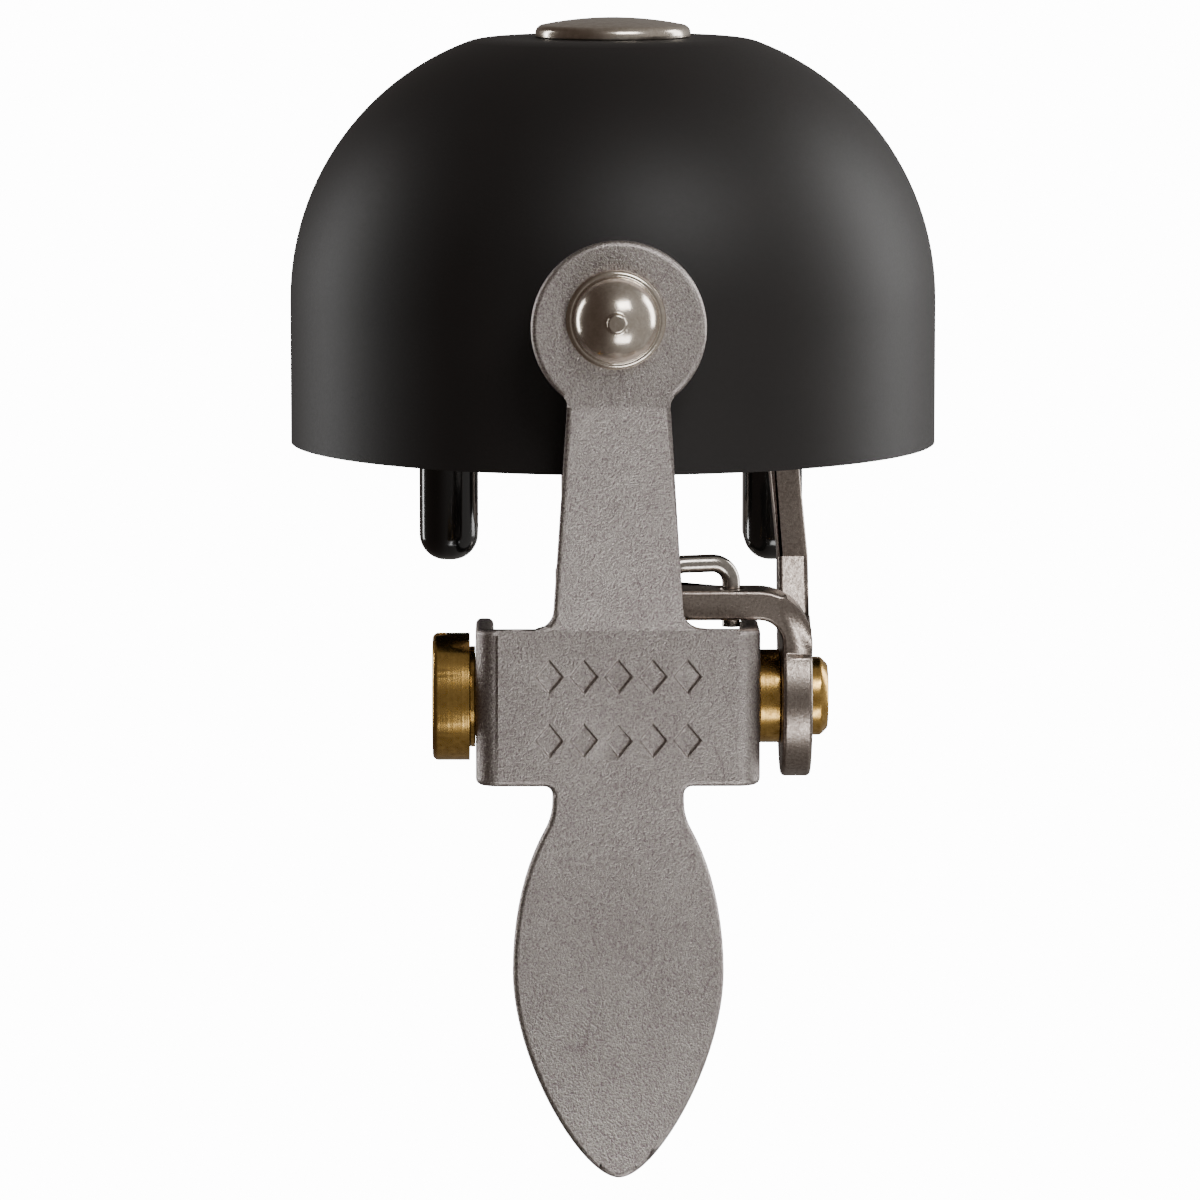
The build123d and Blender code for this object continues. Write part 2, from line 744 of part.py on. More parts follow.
with BuildPart() as spacer_collar:
    with BuildSketch(Plane.YZ.offset(wing_side_x)):
        with Locations((pivot_y, pivot_z)):
            Circle(pivot_radius + running_gap + spacer_wall)
            Circle(pivot_radius + running_gap, mode=Mode.SUBTRACT)
    extrude(amount=spacer_length)
finish(spacer_collar.part, "spacer_collar")

# ---------------------------------------------------------------- return spring
coil_half_length = coil_turns * coil_pitch / 2
coil_front_y = pivot_y - coil_radius
hook_z = shelf_top_z + hook_rise
free_leg_z = wing_bottom_z - free_leg_reach
free_leg_y = wing_back_y + wire_diameter / 2 + seat_gap

with BuildPart() as coil:
    with BuildLine():
        turns = Helix(
            coil_pitch,
            2 * coil_half_length,
            coil_radius,
            center=(-coil_half_length, 0, 0),
            direction=(1, 0, 0),
            lefthand=True,
        )
    with BuildSketch(Plane(origin=turns @ 0, z_dir=turns % 0)):
        Circle(wire_diameter / 2)
    sweep(is_frenet=True)

with BuildPart() as return_spring:
    # the helix starts above the pivot: a quarter turn brings both of its ends to the front
    add(coil.part.rotate(Axis.X, 90).moved(Location((0, pivot_y, pivot_z))))
    with BuildLine():
        fixed_leg = FilletPolyline(
            (coil_half_length, coil_front_y, pivot_z),
            (coil_half_length, coil_front_y, hook_z),
            (hook_x, hook_y, hook_z),
            (hook_x, hook_y, shelf_bottom_z - hook_stub),
            radius=wire_bend,
        )
    with BuildSketch(Plane(origin=fixed_leg @ 0, z_dir=fixed_leg % 0)):
        Circle(wire_diameter / 2)
    sweep(path=fixed_leg)
    with BuildLine():
        free_leg = Line(
            (-coil_half_length, coil_front_y, pivot_z), (-coil_half_length, free_leg_y, free_leg_z)
        )
    with BuildSketch(Plane(origin=free_leg @ 0, z_dir=free_leg % 0)):
        Circle(wire_diameter / 2)
    sweep(path=free_leg)
    # each leg runs out of the coil through a slightly upset joint
    with Locations(
        (coil_half_length, coil_front_y, pivot_z), (-coil_half_length, coil_front_y, pivot_z)
    ):
        Sphere(wire_diameter / 2 + seat_gap)
finish(return_spring.part, "return_spring")

# ---------------------------------------------------------------- clamp band, liner and rivets
front_angle = degrees(pi - asin(front_tab_z / band_mid))
rear_angle = 360 + degrees(asin(rear_tab_z / band_mid))
rear_tab_end_y = lug_end_y

with BuildPart() as clamp_band:
    with BuildSketch(Plane.YZ.offset(-band_width / 2)):
        with BuildLine() as band_line:
            Line(
                (front_tab_end_y, front_tab_z),
                (band_mid * cos(radians(front_angle)), front_tab_z),
            )
            CenterArc((0, 0), band_mid, front_angle, rear_angle - front_angle)
            Line((band_mid * cos(radians(rear_angle)), rear_tab_z), (rear_tab_end_y, rear_tab_z))
            folds = band_line.vertices().filter_by(
                lambda v: abs(Vector(v.X, v.Y).length - band_mid) < 1e-3
            )
            fillet(folds, radius=band_bend)
        trace(line_width=band_thickness)
    extrude(amount=band_width)
    fillet(clamp_band.edges().filter_by(Axis.Z).group_by(Axis.Y)[-1], radius=band_width / 3)
    fillet(clamp_band.edges().filter_by(Axis.Z).group_by(Axis.Y)[0], radius=1.0)
    with Locations((0, clamp_y, rear_tab_z + band_thickness)):
        Hole(radius=clamp_screw_radius + hole_gap, depth=2 * band_thickness)
    with Locations((0, rivet_y, shelf_top_z)):
        with GridLocations(rivet_spacing, 0, 2, 1):
            Hole(radius=rivet_radius + seat_gap, depth=2 * sheet)
finish(clamp_band.part, "clamp_band")

with BuildPart() as band_liner:
    with BuildSketch(Plane.YZ.offset(-band_width / 2)):
        with BuildLine():
            CenterArc(
                (0, 0),
                (bar_radius + band_inner - seat_gap) / 2,
                front_angle + liner_trim,
                rear_angle - front_angle - 2 * liner_trim,
            )
        trace(line_width=liner_thickness - seat_gap)
    extrude(amount=band_width)
finish(band_liner.part, "band_liner")

rivet_top_z = shelf_top_z
rivet_bottom_z = front_tab_z - band_thickness / 2



def rivet(x):
    """One domed rivet through the shelf and the band's front tab at x."""
    plane = Plane(origin=(x, rivet_y, 0), x_dir=(1, 0, 0), z_dir=(0, -1, 0))
    with BuildPart() as piece:
        with BuildSketch(plane):
            with BuildLine():
                crown_arc(rivet_head_radius, rivet_top_z + seat_gap, rivet_head_height)
                Polyline(
                    (rivet_head_radius, rivet_top_z + seat_gap),
                    (rivet_radius, rivet_top_z + seat_gap),
                    (rivet_radius, rivet_bottom_z - seat_gap),
                    (rivet_tail_radius, rivet_bottom_z - seat_gap),
                )
                crown_arc(rivet_tail_radius, rivet_bottom_z - seat_gap, -rivet_tail_height)
                Line(
                    (0, rivet_bottom_z - seat_gap - rivet_tail_height),
                    (0, rivet_top_z + seat_gap + rivet_head_height),
                )
            make_face()
        revolve(axis=Axis((x, rivet_y, 0), (0, 0, 1)))
    return piece.part


with BuildPart() as band_rivets:
    for side in (-1, 1):
        add(rivet(side * rivet_spacing / 2))
finish(band_rivets.part, "band_rivets")

# ---------------------------------------------------------------- clamp screw, its washer and nut
tab_bottom_z = rear_tab_z - band_thickness / 2
washer_bottom_z = tab_bottom_z - seat_gap - clamp_washer_thickness
thumb_top_z = washer_bottom_z - running_gap
clamp_nut_bottom_z = lug_z + sheet / 2 + seat_gap
clamp_end_z = clamp_nut_bottom_z + clamp_nut_height + clamp_end_stand_out

with BuildPart() as clamp_screw:
    with BuildSketch(Plane.XY.offset(thumb_top_z)):
        with Locations((0, clamp_y)):
            Circle(thumb_head_radius)
            with PolarLocations(thumb_head_radius, knurl_count):
                Circle(knurl_radius, mode=Mode.SUBTRACT)
    extrude(amount=-thumb_head_height)
    with BuildSketch(Plane.XY.offset(thumb_top_z)):
        with Locations((0, clamp_y)):
            Circle(clamp_screw_radius)
    extrude(amount=clamp_end_z - thumb_top_z)
    chamfer(clamp_screw.edges().group_by(Axis.Z)[-1], length=0.4)
finish(clamp_screw.part, "clamp_screw")

with BuildPart() as clamp_washer:
    with BuildSketch(Plane.XY.offset(washer_bottom_z)):
        with Locations((0, clamp_y)):
            Circle(clamp_washer_radius)
            Circle(clamp_screw_radius + running_gap, mode=Mode.SUBTRACT)
    extrude(amount=clamp_washer_thickness)
finish(clamp_washer.part, "clamp_washer")

with BuildPart() as clamp_nut:
    bore = clamp_screw_radius + running_gap
    add(hex_nut(clamp_nut_flats, clamp_nut_height, bore, clamp_nut_bottom_z).moved(Location((0, clamp_y, 0))))
finish(clamp_nut.part, "clamp_nut")
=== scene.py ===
"""A bicycle bell: finished meshes, materials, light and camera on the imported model's frame.

Every length is in millimetres until it becomes a mesh, which MM turns to metres. +X runs along the
handlebar, -Y is the lever's side and +Z is up, with the origin on the handlebar's axis.
"""

from __future__ import annotations

import json
import logging
import math
from collections.abc import Callable, Iterable
from dataclasses import dataclass, field
from enum import Enum
from typing import Any

import bmesh
import bpy
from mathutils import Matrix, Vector
from mathutils.bvhtree import BVHTree
from mathutils.kdtree import KDTree

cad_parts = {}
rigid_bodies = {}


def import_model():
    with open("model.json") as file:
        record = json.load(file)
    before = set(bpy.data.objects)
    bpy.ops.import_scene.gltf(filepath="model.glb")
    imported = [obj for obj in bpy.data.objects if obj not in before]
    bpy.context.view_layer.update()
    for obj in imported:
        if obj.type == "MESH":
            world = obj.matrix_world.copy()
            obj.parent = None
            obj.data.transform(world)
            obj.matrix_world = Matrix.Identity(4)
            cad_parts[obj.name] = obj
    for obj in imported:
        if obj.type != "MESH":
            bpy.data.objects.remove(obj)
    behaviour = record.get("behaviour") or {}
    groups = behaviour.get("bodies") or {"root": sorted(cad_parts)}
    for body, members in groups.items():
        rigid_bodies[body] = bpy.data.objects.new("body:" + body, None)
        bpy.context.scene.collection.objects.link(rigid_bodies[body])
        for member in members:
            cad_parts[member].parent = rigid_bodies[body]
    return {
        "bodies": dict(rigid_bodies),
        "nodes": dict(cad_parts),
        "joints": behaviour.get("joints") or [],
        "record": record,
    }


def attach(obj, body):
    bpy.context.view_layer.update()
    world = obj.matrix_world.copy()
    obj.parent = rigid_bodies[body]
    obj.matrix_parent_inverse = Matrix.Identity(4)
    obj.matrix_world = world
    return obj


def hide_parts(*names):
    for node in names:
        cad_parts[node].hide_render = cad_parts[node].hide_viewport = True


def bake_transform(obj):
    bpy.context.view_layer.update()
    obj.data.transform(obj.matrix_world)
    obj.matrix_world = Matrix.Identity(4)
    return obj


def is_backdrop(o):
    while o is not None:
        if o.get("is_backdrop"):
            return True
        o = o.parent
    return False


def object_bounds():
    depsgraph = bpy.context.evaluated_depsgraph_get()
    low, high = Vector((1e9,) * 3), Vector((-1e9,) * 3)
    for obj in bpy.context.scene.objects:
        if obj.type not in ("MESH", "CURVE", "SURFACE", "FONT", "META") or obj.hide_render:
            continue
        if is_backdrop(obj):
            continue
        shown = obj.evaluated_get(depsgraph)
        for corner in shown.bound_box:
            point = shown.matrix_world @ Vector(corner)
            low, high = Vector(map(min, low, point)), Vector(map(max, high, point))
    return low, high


MM = 0.001
FULL_TURN = 2 * math.pi
WELD = 0.002  # mm, under which two points are one
FLAT_ANGLE = 0.5  # degrees, under which neighbouring facets are one flat
LARGE_FLAT = 60.0  # mm2, from which a flat is shaded as a true plane
BEND_ANGLE = 3.0  # degrees, past which the bend between two large flats is a crease
SHARP_ANGLE = 32.0  # degrees, past which an edge is one that a tool or a tumbler would have eased
TIGHT_ANGLE = 14.0  # degrees, under which two edges at a corner are too close to ease
OUTLINE_STEP = 0.25  # mm, between the points along a shape's edges
FAULT_REACH = 0.9  # mm, round a fault, in which the edges are eased less
FAULT_EASE = 0.35  # the share of the width that such edges keep, at each round
EASE_ROUNDS = 8  # the most rounds of easing an edge less
PIVOT_CENTRE = (0.0, -18.675, 1.92)  # mm

log = logging.getLogger("bell")


class Body(Enum):
    """The rigid bodies that a piece can ride on."""

    BASE = "base"
    LEVER = "lever"
    CLAMP_WASHER = "clamp_washer"
    CLAMP_SCREW = "clamp_screw"


# ---------------------------------------------------------------- colours and nodes


def srgb(code: str) -> tuple[float, float, float, float]:
    """Turns an sRGB hex colour into linear red, green, blue and alpha.

    Args:
        code: Six hex digits, with or without a leading hash.

    Returns:
        The linear colour with an alpha of 1.
    """
    digits = code.lstrip("#")
    channels = (int(digits[i : i + 2], 16) / 255 for i in (0, 2, 4))
    linear = [c / 12.92 if c <= 0.04045 else ((c + 0.055) / 1.055) ** 2.4 for c in channels]
    return (*linear, 1.0)


def per_metre(spacing_mm: float) -> float:
    """The texture scale at which one cell of a pattern measures spacing_mm."""
    return 1.0 / (spacing_mm * MM)


def add_node(
    tree: bpy.types.NodeTree,
    kind: str,
    links: dict[str | int, Any] | None = None,
    **settings: Any,
) -> bpy.types.Node:
    """Adds one shader node.

    Args:
        tree: The node tree it goes in.
        kind: The node's type name, without the ShaderNode prefix.
        links: Values or output sockets, by the input that takes them.
        **settings: Attributes of the node itself.

    Returns:
        The new node.
    """
    node = tree.nodes.new(f"ShaderNode{kind}")
    for key, value in settings.items():
        setattr(node, key, value)
    for socket, value in (links or {}).items():
        if isinstance(value, bpy.types.NodeSocket):
            tree.links.new(value, node.inputs[socket])
        else:
            node.inputs[socket].default_value = value
    return node


# ---------------------------------------------------------------- finishes


@dataclass(frozen=True)
class Finish:
    """A real material and how its surface was made.

    Attributes:
        name: The material's name.
        slot: The record's material slot that it stands for; not used here.
        colour: The main colour, as an sRGB hex value.
        roughness: The mean roughness.
    """

    name: str
    slot: str
    colour: str
    roughness: float

    def material(self) -> bpy.types.Material:
        """Builds the material once and returns it after that."""
        made = bpy.data.materials.get(self.name)
        if made is None:
            made = bpy.data.materials.new(self.name)
            made.use_nodes = True
            tree = made.node_tree
            shader = tree.nodes["Principled BSDF"]
            shader.inputs["Base Color"].default_value = srgb(self.colour)
            shader.inputs["Roughness"].default_value = self.roughness
            self.dress(tree, shader)
        return made

    def dress(self, tree: bpy.types.NodeTree, shader: bpy.types.Node) -> None:
        """Adds the finish's own detail. The plain finish has none."""


@dataclass(frozen=True)
class Metal(Finish):
    """A bare or plated metal, with grain as fine specks of light and dark and a fine bump.

    Attributes:
        shade: The colour of its darker specks, as an sRGB hex value.
        grain_mm: The size of one speck.
        spread: How far the roughness strays from its mean.
        bump_mm: The height of the grain.
        cloud_mm: The size of the soft patches under the specks.
        cloud_share: How much the patches count against the specks.
        contrast: The noise levels that give the darkest and the lightest speck.
        grooves_mm: The distance between turning marks, or 0 where there are none.
        groove_axis: The axis that the piece was turned on.
        groove_centre: A point on that axis.
        scratch_mm: The distance between hair scratches, or 0 where there are none.
        scratch_reach: How far from its middle level the noise still draws a scratch.
        scratch_depth: How much of the darker colour shows in the middle of a scratch.
        scratch_breaks: The noise levels where a scratch is gone and where it is whole.
    """

    shade: str = "#808080"
    grain_mm: float = 0.12
    spread: float = 0.06
    bump_mm: float = 0.004
    cloud_mm: float = 3.0
    cloud_share: float = 0.18
    contrast: tuple[float, float] = (0.42, 0.78)
    grooves_mm: float = 0.0
    groove_axis: str = "X"
    groove_centre: tuple[float, float, float] = (0.0, 0.0, 0.0)
    scratch_mm: float = 0.0
    scratch_reach: float = 0.006
    scratch_depth: float = 0.9
    scratch_breaks: tuple[float, float] = (0.52, 0.6)

    def dress(self, tree: bpy.types.NodeTree, shader: bpy.types.Node) -> None:
        """Adds specks, soft patches, a fine bump and any scratches or turning marks.

        Args:
            tree: The material's node tree.
            shader: Its Principled BSDF.
        """
        place = add_node(tree, "TexCoord").outputs["Object"]
        specks = add_node(
            tree,
            "TexNoise",
            {"Vector": place, "Scale": per_metre(self.grain_mm), "Detail": 3.0, "Roughness": 0.65},
        )
        clouds = add_node(
            tree,
            "TexNoise",
            {"Vector": place, "Scale": per_metre(self.cloud_mm), "Detail": 4.0, "Roughness": 0.55},
        )
        blend = add_node(
            tree,
            "Math",
            {0: clouds.outputs["Fac"], 1: self.cloud_share, 2: specks.outputs["Fac"]},
            operation="MULTIPLY_ADD",
        )
        darkest, lightest = self.contrast
        level = add_node(
            tree, "MapRange", {"Value": blend.outputs[0], "From Min": darkest, "From Max": lightest}
        ).outputs[0]
        mix = add_node(
            tree,
            "Mix",
            {"Factor": level, "A": srgb(self.shade), "B": srgb(self.colour)},
            data_type="RGBA",
        )
        colour = mix.outputs["Result"]
        if self.scratch_mm:
            worn = add_node(
                tree,
                "Mix",
                {"Factor": self.hair_scratches(tree, place), "A": colour, "B": srgb(self.shade)},
                data_type="RGBA",
            )
            colour = worn.outputs["Result"]
        tree.links.new(colour, shader.inputs["Base Color"])
        gloss = add_node(
            tree,
            "MapRange",
            {
                "Value": level,
                "To Min": self.roughness + self.spread,
                "To Max": max(self.roughness - self.spread, 0.02),
            },
        )
        tree.links.new(gloss.outputs[0], shader.inputs["Roughness"])
        shader.inputs["Metallic"].default_value = 1.0
        height = level
        if self.grooves_mm:
            height = self.turning_marks(tree, place)
        bump = add_node(tree, "Bump", {"Height": height, "Strength": 1.0, "Distance": self.bump_mm * MM})
        tree.links.new(bump.outputs["Normal"], shader.inputs["Normal"])

    def hair_scratches(
        self, tree: bpy.types.NodeTree, place: bpy.types.NodeSocket
    ) -> bpy.types.NodeSocket:
        """A few broken, wandering hairlines, drawn about as wide as they can still be seen.

        Args:
            tree: The material's node tree.
            place: The object coordinates.

        Returns:
            1 on a scratch and 0 off it.
        """
        swirl = add_node(
            tree, "TexNoise", {"Vector": place, "Scale": per_metre(self.scratch_mm), "Detail": 1.5}
        )
        off = add_node(tree, "Math", {0: swirl.outputs["Fac"], 1: 0.5}, operation="SUBTRACT")
        near = add_node(tree, "Math", {0: off.outputs[0]}, operation="ABSOLUTE")
        line = add_node(
            tree,
            "MapRange",
            {
                "Value": near.outputs[0],
                "From Max": self.scratch_reach,
                "To Min": self.scratch_depth,
                "To Max": 0.0,
            },
        )
        patches = add_node(
            tree, "TexNoise", {"Vector": place, "Scale": per_metre(0.6 * self.scratch_mm), "Detail": 1.0}
        )
        gone, whole = self.scratch_breaks
        kept = add_node(
            tree, "MapRange", {"Value": patches.outputs["Fac"], "From Min": gone, "From Max": whole}
        )
        return add_node(
            tree, "Math", {0: line.outputs[0], 1: kept.outputs[0]}, operation="MULTIPLY"
        ).outputs[0]

    def turning_marks(
        self, tree: bpy.types.NodeTree, place: bpy.types.NodeSocket
    ) -> bpy.types.NodeSocket:
        """Rings round the turning axis and along it, as a lathe tool leaves them.

        Args:
            tree: The material's node tree.
            place: The object coordinates.

        Returns:
            A height that rises and falls with each ring.
        """
        centred = add_node(
            tree,
            "Mapping",
            {"Vector": place, "Location": [-c * MM for c in self.groove_centre]},
            vector_type="POINT",
        )
        parts = add_node(tree, "SeparateXYZ", {"Vector": centred.outputs[0]})
        along = parts.outputs[self.groove_axis]
        across = [parts.outputs[a] for a in "XYZ" if a != self.groove_axis]
        flat = add_node(tree, "CombineXYZ", {"X": across[0], "Y": across[1]})
        radius = add_node(tree, "VectorMath", {0: flat.outputs[0]}, operation="LENGTH")
        profile = add_node(tree, "Math", {0: along, 1: radius.outputs["Value"]}, operation="ADD")
        line = add_node(tree, "CombineXYZ", {"X": profile.outputs[0]})
        rings = add_node(
            tree,
            "TexNoise",
            {
                "Vector": line.outputs[0],
                "Scale": per_metre(self.grooves_mm),
                "Detail": 2.0,
                "Roughness": 0.7,
            },
        )
        return rings.outputs["Fac"]


@dataclass(frozen=True)
class Coat(Finish):
    """A coat, moulding or dip that isn't metal, with a fine surface texture.

    Attributes:
        shade: The colour of its darker patches, as an sRGB hex value.
        texture_mm: The size of the surface texture.
        bump_mm: The height of the texture.
        spread: How far the roughness strays from its mean.
        gloss_coat: The weight of a clear glossy layer.
        coat_roughness: The roughness of that layer.
        ior: The index of refraction.
    """

    shade: str = "#101010"
    texture_mm: float = 0.2
    bump_mm: float = 0.004
    spread: float = 0.05
    gloss_coat: float = 0.0
    coat_roughness: float = 0.08
    ior: float = 1.5

    def dress(self, tree: bpy.types.NodeTree, shader: bpy.types.Node) -> None:
        """Adds soft patches of colour and gloss, and the surface texture.

        Args:
            tree: The material's node tree.
            shader: Its Principled BSDF.
        """
        place = add_node(tree, "TexCoord").outputs["Object"]
        texture = add_node(
            tree,
            "TexNoise",
            {"Vector": place, "Scale": per_metre(self.texture_mm), "Detail": 3.0, "Roughness": 0.6},
        )
        patches = add_node(
            tree,
            "TexNoise",
            {"Vector": place, "Scale": per_metre(30 * self.texture_mm), "Detail": 3.0},
        )
        mix = add_node(
            tree,
            "Mix",
            {"Factor": patches.outputs["Fac"], "A": srgb(self.shade), "B": srgb(self.colour)},
            data_type="RGBA",
        )
        tree.links.new(mix.outputs["Result"], shader.inputs["Base Color"])
        gloss = add_node(
            tree,
            "MapRange",
            {
                "Value": texture.outputs["Fac"],
                "To Min": self.roughness - self.spread,
                "To Max": self.roughness + self.spread,
            },
        )
        tree.links.new(gloss.outputs[0], shader.inputs["Roughness"])
        bump = add_node(
            tree,
            "Bump",
            {"Height": texture.outputs["Fac"], "Strength": 1.0, "Distance": self.bump_mm * MM},
        )
        tree.links.new(bump.outputs["Normal"], shader.inputs["Normal"])
        shader.inputs["IOR"].default_value = self.ior
        shader.inputs["Coat Weight"].default_value = self.gloss_coat
        shader.inputs["Coat Roughness"].default_value = self.coat_roughness


# Powder coat on spun brass: a soft, even black that only shows broad, dull highlights.
BLACK_POWDER = Coat(
    "black_powder_coat",
    "black_dome",
    "#1d1918",
    0.54,
    shade="#171413",
    texture_mm=0.16,
    bump_mm=0.0045,
    ior=1.42,
)
# Tumbled stainless sheet: grey and satin, with a fine sparkle from thousands of small dents.
TUMBLED_STAINLESS = Metal(
    "tumbled_stainless_lever",
    "stainless_lever",
    "#c6c0ba",
    0.38,
    shade="#8f8483",
    grain_mm=0.14,
    bump_mm=0.02,
    scratch_mm=9.0,
)
SHEET_STAINLESS = Metal(
    "tumbled_stainless_sheet",
    "stainless_sheet",
    "#b0a59c",
    0.32,
    shade="#83776f",
    grain_mm=0.2,
    bump_mm=0.006,
)
ROLLED_STAINLESS = Metal(
    "rolled_stainless_strip", "stainless_band", "#c3beb8", 0.24, shade="#a39d96", grain_mm=0.3
)
# Bright nickel plate on turned steel: a mirror with the faintest haze.
NICKEL = Metal(
    "bright_nickel_plate",
    "nickel_plate",
    "#e6dccf",
    0.2,
    shade="#cfc3b4",
    grain_mm=0.5,
    spread=0.04,
    bump_mm=0.0006,
)
# Turned brass: warm and satin, with the lathe's rings across its side and face.
TURNED_BRASS = Metal(
    "turned_brass",
    "brass_turned",
    "#dcb468",
    0.24,
    shade="#a98445",
    grain_mm=0.4,
    bump_mm=0.012,
    grooves_mm=0.35,
    groove_axis="X",
    groove_centre=PIVOT_CENTRE,
)
TURNED_STEEL = Metal(
    "turned_steel", "steel_turned", "#bdbab5", 0.26, shade="#9d9994", grain_mm=0.3, bump_mm=0.003
)
ZINC = Metal("bright_zinc_plate", "zinc_fixings", "#c4c6c6", 0.22, shade="#a8acae", grain_mm=0.6)
SPRING_STEEL = Metal(
    "drawn_spring_wire", "spring_wire", "#bfb8b0", 0.2, shade="#a19a92", grain_mm=0.3, bump_mm=0.002
)
# Dipped vinyl: thick, black and wet-looking.
VINYL = Coat(
    "dipped_black_vinyl",
    "black_vinyl",
    "#1a1817",
    0.16,
    shade="#131211",
    texture_mm=0.8,
    bump_mm=0.006,
    gloss_coat=0.5,
)
RUBBER = Coat(
    "moulded_black_rubber", "black_rubber", "#232221", 0.62, shade="#1b1a1a", texture_mm=0.12, bump_mm=0.01
)
FIBRE = Coat("black_fibre", "fibre_washer", "#2f2b28", 0.7, shade="#24211f", texture_mm=0.1, bump_mm=0.01)


# ---------------------------------------------------------------- pieces


@dataclass
class Bench:
    """Turns bmeshes into finished pieces and remembers them.

    Attributes:
        frame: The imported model, as the frame loader gives it.
        made: The pieces made so far.
    """

    frame: dict[str, Any]
    made: list[bpy.types.Object] = field(default_factory=list)

    def finished(
        self,
        name: str,
        shape: bmesh.types.BMesh,
        finish: Finish,
        body: Body | None,
        nodes: Iterable[str],
        smooth_below: float = 35.0,
    ) -> bpy.types.Object:
        """Makes a piece that stands for CAD nodes.

        Args:
            name: The new object's name.
            shape: Its mesh, in metres and in place. It is freed here.
            finish: Its material.
            body: The body it rides on, or None for a piece that rides on no body.
            nodes: The CAD nodes that it stands for.
            smooth_below: The angle in degrees past which an edge looks sharp.

        Returns:
            The new object.
        """
        mesh = bpy.data.meshes.new(name)
        shape.to_mesh(mesh)
        shape.free()
        mesh.shade_smooth()
        mesh.set_sharp_from_angle(angle=math.radians(smooth_below))
        Bench.crease_flats(mesh)
        mesh.materials.append(finish.material())
        piece = bpy.data.objects.new(name, mesh)
        bpy.context.scene.collection.objects.link(piece)
        if body:
            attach(piece, body.value)
        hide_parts(*nodes)
        self.made.append(piece)
        log.info("%s rides on %s, %d faces", name, body.value if body else "two", len(mesh.polygons))
        return piece

    @staticmethod
    def crease_flats(mesh: bpy.types.Mesh) -> None:
        """Keeps large flats true planes, and the light from bleeding across the bend between two.

        Args:
            mesh: The mesh whose flats and bends are marked.
        """
        shape = bmesh.new()
        shape.from_mesh(mesh)
        for face in shape.faces:
            face.smooth = face.calc_area() < LARGE_FLAT * MM**2
        for edge in shape.edges:
            large = all(face.calc_area() > LARGE_FLAT * MM**2 for face in edge.link_faces)
            if large and edge.calc_face_angle(0.0) > math.radians(BEND_ANGLE):
                edge.smooth = False
        shape.to_mesh(mesh)
        shape.free()

    def merged(self, node: str) -> bmesh.types.BMesh:
        """A copy of a CAD node's mesh with its loose triangles joined and its flats made whole.

        Args:
            node: The CAD node's name.

        Returns:
            The copy, in metres and in place.
        """
        shape = bmesh.new()
        shape.from_mesh(self.frame["nodes"][node].data)
        bmesh.ops.remove_doubles(shape, verts=shape.verts, dist=WELD * MM)
        bmesh.ops.dissolve_limit(
            shape, angle_limit=math.radians(FLAT_ANGLE), verts=shape.verts, edges=shape.edges
        )
        return shape

    def eased(
        self, node: str, name: str, finish: Finish, body: Body, ease: float, segments: int = 3
    ) -> bpy.types.Object:
        """A CAD node's shape with its sharp edges broken, as a deburred piece has them.

        Args:
            node: The CAD node's name.
            name: The new object's name.
            finish: Its material.
            body: The body it rides on.
            ease: The width of the broken edges, in millimetres.
            segments: The segments across each broken edge.

        Returns:
            The new object.
        """
        piece = self.finished(name, self.merged(node), finish, body, [node])
        self.ease_edges(piece, ease, segments)
        return piece

    @staticmethod
    def ease_edges(
        piece: bpy.types.Object,
        ease: float,
        segments: int,
        share: Callable[[Vector], float] = lambda middle: 1.0,
    ) -> None:
        """Rounds a piece's sharp edges, each by its own share of the full width.

        Args:
            piece: The piece.
            ease: The full width of a rounded edge, in millimetres.
            segments: The segments across each rounded edge.
            share: The share of the full width, from 0 to 1, by the edge's middle in millimetres.
        """
        shape = bmesh.new()
        shape.from_mesh(piece.data)
        surface = BVHTree.FromBMesh(shape)
        outline = Bench.outline(shape)
        weights = shape.edges.layers.float.new("bevel_weight_edge")
        sharp = {
            edge: (edge.verts[0].co + edge.verts[1].co) / 2
            for edge in shape.edges
            if edge.is_manifold and edge.calc_face_angle(0.0) > math.radians(SHARP_ANGLE)
        }
        tight = {vert for edge in sharp for vert in edge.verts if Bench.is_tight(vert)}
        for edge, middle in sharp.items():
            blunt = not tight.intersection(edge.verts)
            edge[weights] = share(middle / MM) if blunt else 0.0
        shape.to_mesh(piece.data)
        bevel = piece.modifiers.new("eased_edges", "BEVEL")
        bevel.width = ease * MM
        bevel.segments = segments
        bevel.limit_method = "WEIGHT"
        bevel.harden_normals = True
        bevel.use_clamp_overlap = False
        for _ in range(EASE_ROUNDS):
            faults = Bench.faults(piece, surface, outline, ease)
            if not faults:
                break
            for edge, middle in sharp.items():
                if min((middle - fault).length for fault in faults) < FAULT_REACH * MM:
                    edge[weights] *= FAULT_EASE
            shape.to_mesh(piece.data)
        log.info("%s has %d faults left in its edges", piece.name, len(faults))
        shape.free()

    @staticmethod
    def is_tight(corner: bmesh.types.BMVert) -> bool:
        """Whether two edges leave a corner so close together that rounding one would run along the other."""
        ways = [(edge.other_vert(corner).co - corner.co).normalized() for edge in corner.link_edges]
        pairs = ((a, b) for i, a in enumerate(ways) for b in ways[i + 1 :])
        return any(a.angle(b) < math.radians(TIGHT_ANGLE) for a, b in pairs)

    @staticmethod
    def outline(shape: bmesh.types.BMesh) -> KDTree:
        """Close-set points along every edge of a shape, to measure distances from its edges."""
        points = [
            edge.verts[0].co.lerp(edge.verts[1].co, step / count)
            for edge in shape.edges
            for count in [max(1, round(edge.calc_length() / (OUTLINE_STEP * MM)))]
            for step in range(count + 1)
        ]
        tree = KDTree(len(points))
        for index, point in enumerate(points):
            tree.insert(point, index)
        tree.balance()
        return tree

